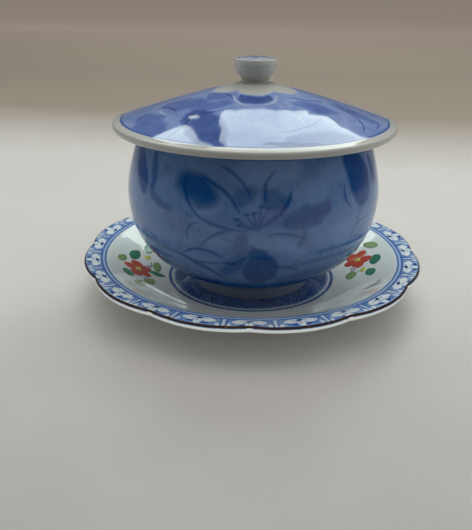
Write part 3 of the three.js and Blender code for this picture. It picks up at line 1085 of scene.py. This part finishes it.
def bare_clay_material(name, free_level, band, side_color):
    """Glazed sides and a resting face wiped bare, darkened a little where it has stood."""
    canvas = Canvas(name)
    wobble = canvas.noise(1.5, seed=61)
    bare = (canvas.z - free_level + wobble * 0.3).inside(band, 0.25)
    speck = canvas.noise(0.35, seed=63).beyond(0.2, 0.08)
    clay = canvas.mix(CLAY, CLAY_SPECK, speck * 0.5)
    stain = canvas.noise(5, 3, seed=65).beyond(0.05, 0.3) * 0.4
    clay = canvas.mix(clay, CLAY_STAIN, stain)
    pooled = canvas.noise(7, seed=67).beyond(0.0, 0.4) * 0.6
    sides = canvas.mix(side_color, tuple(0.86 * tone for tone in side_color), pooled)
    canvas.color(canvas.mix(sides, clay, bare))
    grain = canvas.noise(0.25, 3, seed=69)
    canvas.bump(grain * bare + 0.5, 0.03)
    canvas.rough(bare.times_plus(0.5, 0.14))
    feed_all(canvas.shader, {"Coat Weight": 0.2, "Coat Roughness": 0.08})
    return canvas.material


plain = plain_material()
for shell, material in (
    (saucer_shell, saucer_material()),
    (saucer_foot, bare_clay_material("saucer_foot_clay", 0, 0.8, SAUCER_FOOT_GLAZE)),
    (cup_shell, cup_material()),
    # The cup foot's sides take painted shade for their colour.
    (cup_foot, bare_clay_material("cup_foot_clay", WELL, 0.4, CUP_FOOT_PAINTED_SHADE)),
    (lid_shell, lid_material()),
    (lid_ring, plain),
    (knob, plain),
):
    shell.data.materials.append(material)


# ---- stage, lights and camera

FLOOR_REACH = 30.0  # metres each way
FLOOR_ALBEDO = (0.42, 0.413, 0.405)
FLOOR_DARK = (0.365, 0.358, 0.347)
FLOOR_SHADE = (0.22, 0.216, 0.21)  # on the side away from the window
FAR_COLOR = (0.21, 0.175, 0.145)
FAR_START, FAR_END = 200.0, 400.0  # the floor darkens between these distances behind the saucer
FAR_GLOW = 1300.0  # beyond here the lamps no longer reach it
SQUARE = ((-1, -1), (1, -1), (1, 1), (-1, 1))


def stage_sheet(name, corners, material):
    """One flat face of the stage; its corners are in metres."""
    sheet = new_mesh(name, corners, [tuple(range(len(corners)))])
    sheet.data.materials.append(material)
    return sheet


def floor_material():
    """Pale plaster, darker in front of the cup and far behind it, where it glows faintly by itself."""
    canvas = Canvas("floor_plaster")
    grain = canvas.noise(1.2, 3, 0.6, seed=81)
    dimples = canvas.noise(2.6, seed=83)
    tone = canvas.noise(60, seed=85)
    mottle = (grain * 0.8 + tone + 0.4).calc("MULTIPLY", 0.5, clamp=True)
    near_color = canvas.mix(FLOOR_ALBEDO, FLOOR_DARK, mottle)
    far = (canvas.y + canvas.x * 0.1 + tone * 40).beyond((FAR_START + FAR_END) / 2, FAR_END - FAR_START)
    shade = (-canvas.y + tone * 60).beyond(80.0, 160.0)
    canvas.color(canvas.mix(canvas.mix(near_color, FLOOR_SHADE, shade), FAR_COLOR, far))
    glow = canvas.y.beyond(FAR_GLOW, FAR_GLOW * 0.9)
    feed_all(canvas.shader, {"Emission Color": (*FAR_COLOR, 1), "Emission Strength": glow})
    canvas.bump(dimples + grain * 0.5 + 0.5, 0.12)
    canvas.rough(grain * 0.1 + 0.55)
    return canvas.material


floor_corners = [(x * FLOOR_REACH, y * FLOOR_REACH, 0) for x, y in SQUARE]
floor = stage_sheet("floor", floor_corners, floor_material())

LIGHT_DISTANCE = 1.5
LID_TOP = Vector((0, 0, KNOB_SEAT * MM))


def direction(azimuth, elevation):
    """Unit vector at an azimuth from +Y towards +X and an elevation, in degrees."""
    a, e = math.radians(azimuth), math.radians(elevation)
    return Vector((math.sin(a) * math.cos(e), math.cos(a) * math.cos(e), math.sin(e)))


def soft_light(name, azimuth, elevation, size, radiance, tint):
    """A square light facing the lid that gives soft light and no mirror image."""
    toward = direction(azimuth, elevation)
    data = bpy.data.lights.new(name, "AREA")
    data.size = size
    data.energy = radiance * math.pi * size**2
    data.color = tint
    light = new_object(name, data)
    light.location = LID_TOP + toward * LIGHT_DISTANCE
    light.rotation_mode = "QUATERNION"
    light.rotation_quaternion = toward.to_track_quat("Z", "Y")
    light.visible_camera = light.visible_glossy = False
    return light


def window(name, outline):
    """A glowing pane behind the cup whose corners are azimuths and elevations seen from the lid."""
    glow = bpy.data.materials.new(name + "_glow")
    glow.use_nodes = True
    nodes = glow.node_tree.nodes
    nodes.remove(nodes["Principled BSDF"])
    emission = nodes.new("ShaderNodeEmission")
    feed_all(emission, {"Color": (*WINDOW_COLOR, 1), "Strength": WINDOW_RADIANCE})
    feed(nodes["Material Output"].inputs["Surface"], emission.outputs[0])
    middle = direction(*np.mean(outline, axis=0))
    rays = [direction(*way) for way in outline]
    corners = [LID_TOP + ray * (LIGHT_DISTANCE / ray.dot(middle)) for ray in rays]
    stage_sheet(name, corners, glow).visible_camera = False


WINDOW_TOP = 64.0
WINDOW_RADIANCE = 3.4
WINDOW_COLOR = (0.82, 0.92, 0.84)
WIDE_PANE = (
    (-9.0, WINDOW_TOP), (-9.8, 49.7), (-11.9, 47.8), (-10.9, 45.0), (-11.8, 42.8), (-11.4, 39.8),
    (-10.5, 39.4), (-6.7, 41.6), (0.4, 42.6), (7.5, 41.2), (13.0, 37.0), (15.6, 32.4), (16.0, 34.2),
    (18.4, 28.8), (19.5, 29.0), (21.3, 30.6), (22.3, 29.7), (24.6, 29.4), (25.8, 26.4), (28.0, 27.0),
    (28.0, WINDOW_TOP),
)
NARROW_PANE = (
    (-34.0, WINDOW_TOP), (-34.0, 31.0), (-24.5, 33.2), (-21.7, 34.3), (-19.5, 35.9), (-18.2, 40.4),
    (-17.5, 44.9), (-13.8, 48.3), (-12.6, 55.0), (-12.2, WINDOW_TOP),
)
SMALL_PANE = ((-18.2, 32.4), (-16.8, 34.4), (-16.3, 36.8), (-18.1, 34.6))
window("wide_pane", WIDE_PANE)
window("narrow_pane", NARROW_PANE)
window("small_pane", SMALL_PANE)

DAYLIGHT = (0.93, 0.98, 0.97)
CEILING_WHITE = (1.0, 0.97, 0.93)
WALL_WHITE = (1.0, 0.96, 0.91)
FLOOR_WHITE = (1.0, 0.97, 0.92)
RIM_WHITE = (1.0, 0.92, 0.87)
SOFT_LIGHTS = (  # name, azimuth, elevation, size in metres, radiance and tint
    ("daylight", 16, 50, 1.0, 3.0, DAYLIGHT),
    ("ceiling", 0, 82, 2.4, 1.0, CEILING_WHITE),
    ("left_wall", -95, 32, 1.4, 0.9, WALL_WHITE),
    ("right_wall", 95, 32, 1.4, 1.3, WALL_WHITE),
    ("floor_fill", 180, 60, 1.4, 0.5, FLOOR_WHITE),
    ("floor_glow", 180, 60, 1.4, 1.9, FLOOR_WHITE),
    ("rim_fill", 180, 8, 0.5, 13.0, RIM_WHITE),
)
lights = {row[0]: soft_light(*row) for row in SOFT_LIGHTS}


def lit_only(light, name, receiver):
    """Lets a light reach one object only, and returns the collection that says so."""
    group = bpy.data.collections.new(name)
    group.objects.link(receiver)
    light.light_linking.receiver_collection = group
    return group


lit_only(lights["floor_fill"], "floor_with_shadow", floor)
floor_alone = lit_only(lights["floor_glow"], "floor_without_shadow", floor)
lights["floor_glow"].light_linking.blocker_collection = floor_alone
lit_only(lights["rim_fill"], "saucer_alone", saucer_shell)

CARD_PLACE = -0.19  # the card's distance from the cup's axis; negative is in front
CARD_REACH, CARD_HEIGHT = 1.5, 1.6


def dark_card():
    """The unlit room in front of the table, seen only in the glaze."""
    black = bpy.data.materials.new("dark_card_cloth")
    black.use_nodes = True
    cloth = {"Base Color": (0.02, 0.02, 0.02, 1), "Roughness": 1.0}
    feed_all(black.node_tree.nodes["Principled BSDF"], cloth)
    low, high = 0, CARD_HEIGHT
    places = ((-CARD_REACH, low), (CARD_REACH, low), (CARD_REACH, high), (-CARD_REACH, high))
    card = stage_sheet("dark_card", [(x, CARD_PLACE, z) for x, z in places], black)
    card.visible_camera = card.visible_diffuse = card.visible_shadow = False


dark_card()

SKY = (0.95, 0.97, 1.0)
SKY_STRENGTH = 0.11
world = bpy.data.worlds.new("studio")
bpy.context.scene.world = world
world.use_nodes = True
feed_all(world.node_tree.nodes["Background"], {"Color": (*SKY, 1), "Strength": SKY_STRENGTH})
bpy.context.scene.view_settings.view_transform = "Standard"

FRAME_HEIGHT = 530
FOCAL_PIXELS = 600.0  # focal length in pixels of that frame
SENSOR = 36.0
PITCH, ROLL, YAW = 24.32, 0.7, -1.56  # degrees
CAMERA_HEIGHT, CAMERA_BACK = 111.7, 226.3  # above the floor and in front of the cup's axis


def make_camera():
    data = bpy.data.cameras.new("camera")
    data.lens = FOCAL_PIXELS * SENSOR / FRAME_HEIGHT
    data.sensor_width = SENSOR
    camera = new_object("camera", data)
    camera.location = (0, -CAMERA_BACK * MM, CAMERA_HEIGHT * MM)
    camera.rotation_euler = Euler((math.radians(90 - PITCH), 0, math.radians(-YAW)), "XYZ")
    camera.rotation_euler.rotate_axis("Z", math.radians(ROLL))
    bpy.context.scene.camera = camera


make_camera()
